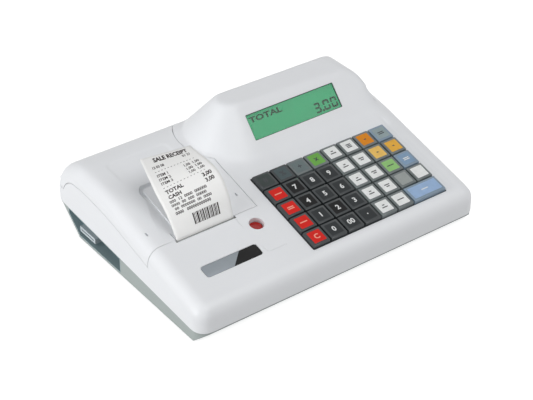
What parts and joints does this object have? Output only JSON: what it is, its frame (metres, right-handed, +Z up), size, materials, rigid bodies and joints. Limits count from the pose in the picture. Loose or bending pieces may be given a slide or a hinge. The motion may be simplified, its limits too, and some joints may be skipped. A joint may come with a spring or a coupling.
{
  "type": "ticket register",
  "caption": "Portable electronic till with a sloping keypad, a hooded display, a hinged paper lid and a curling printed receipt.",
  "frame": {"origin": "centre of the case's footprint, on the surface that the feet stand on", "axes": "+X to the user's right, +Y to the back, +Z up"},
  "size_m": [0.304, 0.23, 0.1059],
  "materials": {
    "grey_tray": "moulded, fine texture",
    "white_shell": "moulded, satin",
    "light_sockets": "moulded",
    "rubber_feet": "matt",
    "steel": "brushed",
    "circuit_board": "solder mask",
    "dark_frame": "moulded",
    "display_green": "backlit",
    "clear_window": "polished",
    "dark_printer": "moulded",
    "head_ceramic": "glazed",
    "platen_rubber": "ground",
    "motor_can": "plated",
    "thermal_paper": "coated",
    "red_lens": "translucent",
    "key_grey": "clear cap over insert",
    "key_green": "clear cap over insert",
    "key_white": "clear cap over insert",
    "key_orange": "clear cap over insert",
    "key_blue": "clear cap over insert",
    "key_red": "clear cap over insert",
    "key_black": "clear cap over insert",
    "key_yellow": "clear cap over insert",
    "key_light_blue": "clear cap over insert"
  },
  "bodies": {
    "case": {"base_tray": "grey_tray", "upper_case": "white_shell", "port_connectors": "light_sockets", "rubber_feet": "rubber_feet", "case_screws": "steel", "main_board": "circuit_board", "keyboard_board": "circuit_board", "key_frame": "dark_frame", "operator_display": "display_green", "operator_window": "clear_window", "customer_display": "display_green", "lid_hinge_pins": "steel", "printer_frame": "dark_printer", "print_head": "head_ceramic", "tear_bar": "steel", "feed_motor": "motor_can"},
    "lid": {"paper_lid": "white_shell", "receipt": "thermal_paper"},
    "platen": {"platen_roller": "platen_rubber"},
    "roll": {"paper_roll": "thermal_paper"},
    "button": {"red_button": "red_lens"},
    "key_r1_c1_body": {"key_r1_c1": "key_grey"},
    "key_r1_c2_body": {"key_r1_c2": "key_grey"},
    "key_r1_c3_body": {"key_r1_c3": "key_grey"},
    "key_r1_c4_body": {"key_r1_c4": "key_green"},
    "key_r1_c5_body": {"key_r1_c5": "key_white"},
    "key_r1_c6_body": {"key_r1_c6": "key_white"},
    "key_r1_c7_body": {"key_r1_c7": "key_orange"},
    "key_r1_c8_body": {"key_r1_c8": "key_blue"},
    "key_r2_c1_body": {"key_r2_c1": "key_red"},
    "key_r2_c2_body": {"key_r2_c2": "key_black"},
    "key_r2_c3_body": {"key_r2_c3": "key_black"},
    "key_r2_c4_body": {"key_r2_c4": "key_black"},
    "key_r2_c5_body": {"key_r2_c5": "key_white"},
    "key_r2_c6_body": {"key_r2_c6": "key_white"},
    "key_r2_c7_body": {"key_r2_c7": "key_yellow"},
    "key_r2_c8_body": {"key_r2_c8": "key_yellow"},
    "key_r3_c1_body": {"key_r3_c1": "key_red"},
    "key_r3_c2_body": {"key_r3_c2": "key_black"},
    "key_r3_c3_body": {"key_r3_c3": "key_black"},
    "key_r3_c4_body": {"key_r3_c4": "key_black"},
    "key_r3_c5_body": {"key_r3_c5": "key_white"},
    "key_r3_c6_body": {"key_r3_c6": "key_white"},
    "key_r3_c7_body": {"key_r3_c7": "key_green"},
    "key_r3_c8_body": {"key_r3_c8": "key_blue"},
    "key_r4_c1_body": {"key_r4_c1": "key_red"},
    "key_r4_c2_body": {"key_r4_c2": "key_black"},
    "key_r4_c3_body": {"key_r4_c3": "key_black"},
    "key_r4_c4_body": {"key_r4_c4": "key_black"},
    "key_r4_c5_body": {"key_r4_c5": "key_white"},
    "key_r4_c6_body": {"key_r4_c6": "key_white"},
    "key_r4_c7_body": {"key_r4_c7": "key_grey"},
    "key_r4_c8_body": {"key_r4_c8": "key_white"},
    "key_r5_c1_body": {"key_r5_c1": "key_red"},
    "key_r5_c2_body": {"key_r5_c2": "key_black"},
    "key_r5_c3_body": {"key_r5_c3": "key_black"},
    "key_r5_c4_body": {"key_r5_c4": "key_black"},
    "key_r5_c5_body": {"key_r5_c5": "key_white"},
    "key_r5_c6_body": {"key_r5_c6": "key_white"},
    "key_r5_c7_body": {"key_r5_c7": "key_light_blue"}
  },
  "joints": [
    {"name": "lid_hinge", "type": "hinge", "parent": "case", "child": "lid", "pos_m": [-0.0958, 0.11, 0.044], "axis": [-1, 0, 0], "range_deg": [0, 90]},
    {"name": "platen_turn", "type": "hinge", "parent": "lid", "child": "platen", "pos_m": [-0.0938, -0.0335, 0.0445], "axis": [1, 0, 0], "continuous": true},
    {"name": "paper_roll_turn", "type": "hinge", "parent": "case", "child": "roll", "pos_m": [-0.0938, 0.015, 0.034], "axis": [1, 0, 0], "continuous": true},
    {"name": "button_press", "type": "slide", "parent": "case", "child": "button", "axis": [0, 0.2419, -0.9703], "range_m": [0, 0.0015], "stiffness_N_per_m": 300, "springref_m": -0.001},
    {"name": "key_r1_c1_press", "type": "slide", "parent": "case", "child": "key_r1_c1_body", "axis": [0, 0.2419, -0.9703], "range_m": [0, 0.0025], "stiffness_N_per_m": 240, "springref_m": -0.001},
    {"name": "key_r1_c2_press", "type": "slide", "parent": "case", "child": "key_r1_c2_body", "axis": [0, 0.2419, -0.9703], "range_m": [0, 0.0025], "stiffness_N_per_m": 240, "springref_m": -0.001},
    {"name": "key_r1_c3_press", "type": "slide", "parent": "case", "child": "key_r1_c3_body", "axis": [0, 0.2419, -0.9703], "range_m": [0, 0.0025], "stiffness_N_per_m": 240, "springref_m": -0.001},
    {"name": "key_r1_c4_press", "type": "slide", "parent": "case", "child": "key_r1_c4_body", "axis": [0, 0.2419, -0.9703], "range_m": [0, 0.0025], "stiffness_N_per_m": 240, "springref_m": -0.001},
    {"name": "key_r1_c5_press", "type": "slide", "parent": "case", "child": "key_r1_c5_body", "axis": [0, 0.2419, -0.9703], "range_m": [0, 0.0025], "stiffness_N_per_m": 240, "springref_m": -0.001},
    {"name": "key_r1_c6_press", "type": "slide", "parent": "case", "child": "key_r1_c6_body", "axis": [0, 0.2419, -0.9703], "range_m": [0, 0.0025], "stiffness_N_per_m": 240, "springref_m": -0.001},
    {"name": "key_r1_c7_press", "type": "slide", "parent": "case", "child": "key_r1_c7_body", "axis": [0, 0.2419, -0.9703], "range_m": [0, 0.0025], "stiffness_N_per_m": 240, "springref_m": -0.001},
    {"name": "key_r1_c8_press", "type": "slide", "parent": "case", "child": "key_r1_c8_body", "axis": [0, 0.2419, -0.9703], "range_m": [0, 0.0025], "stiffness_N_per_m": 240, "springref_m": -0.001},
    {"name": "key_r2_c1_press", "type": "slide", "parent": "case", "child": "key_r2_c1_body", "axis": [0, 0.2419, -0.9703], "range_m": [0, 0.0025], "stiffness_N_per_m": 240, "springref_m": -0.001},
    {"name": "key_r2_c2_press", "type": "slide", "parent": "case", "child": "key_r2_c2_body", "axis": [0, 0.2419, -0.9703], "range_m": [0, 0.0025], "stiffness_N_per_m": 240, "springref_m": -0.001},
    {"name": "key_r2_c3_press", "type": "slide", "parent": "case", "child": "key_r2_c3_body", "axis": [0, 0.2419, -0.9703], "range_m": [0, 0.0025], "stiffness_N_per_m": 240, "springref_m": -0.001},
    {"name": "key_r2_c4_press", "type": "slide", "parent": "case", "child": "key_r2_c4_body", "axis": [0, 0.2419, -0.9703], "range_m": [0, 0.0025], "stiffness_N_per_m": 240, "springref_m": -0.001},
    {"name": "key_r2_c5_press", "type": "slide", "parent": "case", "child": "key_r2_c5_body", "axis": [0, 0.2419, -0.9703], "range_m": [0, 0.0025], "stiffness_N_per_m": 240, "springref_m": -0.001},
    {"name": "key_r2_c6_press", "type": "slide", "parent": "case", "child": "key_r2_c6_body", "axis": [0, 0.2419, -0.9703], "range_m": [0, 0.0025], "stiffness_N_per_m": 240, "springref_m": -0.001},
    {"name": "key_r2_c7_press", "type": "slide", "parent": "case", "child": "key_r2_c7_body", "axis": [0, 0.2419, -0.9703], "range_m": [0, 0.0025], "stiffness_N_per_m": 240, "springref_m": -0.001},
    {"name": "key_r2_c8_press", "type": "slide", "parent": "case", "child": "key_r2_c8_body", "axis": [0, 0.2419, -0.9703], "range_m": [0, 0.0025], "stiffness_N_per_m": 240, "springref_m": -0.001},
    {"name": "key_r3_c1_press", "type": "slide", "parent": "case", "child": "key_r3_c1_body", "axis": [0, 0.2419, -0.9703], "range_m": [0, 0.0025], "stiffness_N_per_m": 240, "springref_m": -0.001},
    {"name": "key_r3_c2_press", "type": "slide", "parent": "case", "child": "key_r3_c2_body", "axis": [0, 0.2419, -0.9703], "range_m": [0, 0.0025], "stiffness_N_per_m": 240, "springref_m": -0.001},
    {"name": "key_r3_c3_press", "type": "slide", "parent": "case", "child": "key_r3_c3_body", "axis": [0, 0.2419, -0.9703], "range_m": [0, 0.0025], "stiffness_N_per_m": 240, "springref_m": -0.001},
    {"name": "key_r3_c4_press", "type": "slide", "parent": "case", "child": "key_r3_c4_body", "axis": [0, 0.2419, -0.9703], "range_m": [0, 0.0025], "stiffness_N_per_m": 240, "springref_m": -0.001},
    {"name": "key_r3_c5_press", "type": "slide", "parent": "case", "child": "key_r3_c5_body", "axis": [0, 0.2419, -0.9703], "range_m": [0, 0.0025], "stiffness_N_per_m": 240, "springref_m": -0.001},
    {"name": "key_r3_c6_press", "type": "slide", "parent": "case", "child": "key_r3_c6_body", "axis": [0, 0.2419, -0.9703], "range_m": [0, 0.0025], "stiffness_N_per_m": 240, "springref_m": -0.001},
    {"name": "key_r3_c7_press", "type": "slide", "parent": "case", "child": "key_r3_c7_body", "axis": [0, 0.2419, -0.9703], "range_m": [0, 0.0025], "stiffness_N_per_m": 240, "springref_m": -0.001},
    {"name": "key_r3_c8_press", "type": "slide", "parent": "case", "child": "key_r3_c8_body", "axis": [0, 0.2419, -0.9703], "range_m": [0, 0.0025], "stiffness_N_per_m": 240, "springref_m": -0.001},
    {"name": "key_r4_c1_press", "type": "slide", "parent": "case", "child": "key_r4_c1_body", "axis": [0, 0.2419, -0.9703], "range_m": [0, 0.0025], "stiffness_N_per_m": 240, "springref_m": -0.001},
    {"name": "key_r4_c2_press", "type": "slide", "parent": "case", "child": "key_r4_c2_body", "axis": [0, 0.2419, -0.9703], "range_m": [0, 0.0025], "stiffness_N_per_m": 240, "springref_m": -0.001},
    {"name": "key_r4_c3_press", "type": "slide", "parent": "case", "child": "key_r4_c3_body", "axis": [0, 0.2419, -0.9703], "range_m": [0, 0.0025], "stiffness_N_per_m": 240, "springref_m": -0.001},
    {"name": "key_r4_c4_press", "type": "slide", "parent": "case", "child": "key_r4_c4_body", "axis": [0, 0.2419, -0.9703], "range_m": [0, 0.0025], "stiffness_N_per_m": 240, "springref_m": -0.001},
    {"name": "key_r4_c5_press", "type": "slide", "parent": "case", "child": "key_r4_c5_body", "axis": [0, 0.2419, -0.9703], "range_m": [0, 0.0025], "stiffness_N_per_m": 240, "springref_m": -0.001},
    {"name": "key_r4_c6_press", "type": "slide", "parent": "case", "child": "key_r4_c6_body", "axis": [0, 0.2419, -0.9703], "range_m": [0, 0.0025], "stiffness_N_per_m": 240, "springref_m": -0.001},
    {"name": "key_r4_c7_press", "type": "slide", "parent": "case", "child": "key_r4_c7_body", "axis": [0, 0.2419, -0.9703], "range_m": [0, 0.0025], "stiffness_N_per_m": 240, "springref_m": -0.001},
    {"name": "key_r4_c8_press", "type": "slide", "parent": "case", "child": "key_r4_c8_body", "axis": [0, 0.2419, -0.9703], "range_m": [0, 0.0025], "stiffness_N_per_m": 240, "springref_m": -0.001},
    {"name": "key_r5_c1_press", "type": "slide", "parent": "case", "child": "key_r5_c1_body", "axis": [0, 0.2419, -0.9703], "range_m": [0, 0.0025], "stiffness_N_per_m": 240, "springref_m": -0.001},
    {"name": "key_r5_c2_press", "type": "slide", "parent": "case", "child": "key_r5_c2_body", "axis": [0, 0.2419, -0.9703], "range_m": [0, 0.0025], "stiffness_N_per_m": 240, "springref_m": -0.001},
    {"name": "key_r5_c3_press", "type": "slide", "parent": "case", "child": "key_r5_c3_body", "axis": [0, 0.2419, -0.9703], "range_m": [0, 0.0025], "stiffness_N_per_m": 240, "springref_m": -0.001},
    {"name": "key_r5_c4_press", "type": "slide", "parent": "case", "child": "key_r5_c4_body", "axis": [0, 0.2419, -0.9703], "range_m": [0, 0.0025], "stiffness_N_per_m": 240, "springref_m": -0.001},
    {"name": "key_r5_c5_press", "type": "slide", "parent": "case", "child": "key_r5_c5_body", "axis": [0, 0.2419, -0.9703], "range_m": [0, 0.0025], "stiffness_N_per_m": 240, "springref_m": -0.001},
    {"name": "key_r5_c6_press", "type": "slide", "parent": "case", "child": "key_r5_c6_body", "axis": [0, 0.2419, -0.9703], "range_m": [0, 0.0025], "stiffness_N_per_m": 240, "springref_m": -0.001},
    {"name": "key_r5_c7_press", "type": "slide", "parent": "case", "child": "key_r5_c7_body", "axis": [0, 0.2419, -0.9703], "range_m": [0, 0.0025], "stiffness_N_per_m": 240, "springref_m": -0.001}
  ]
}
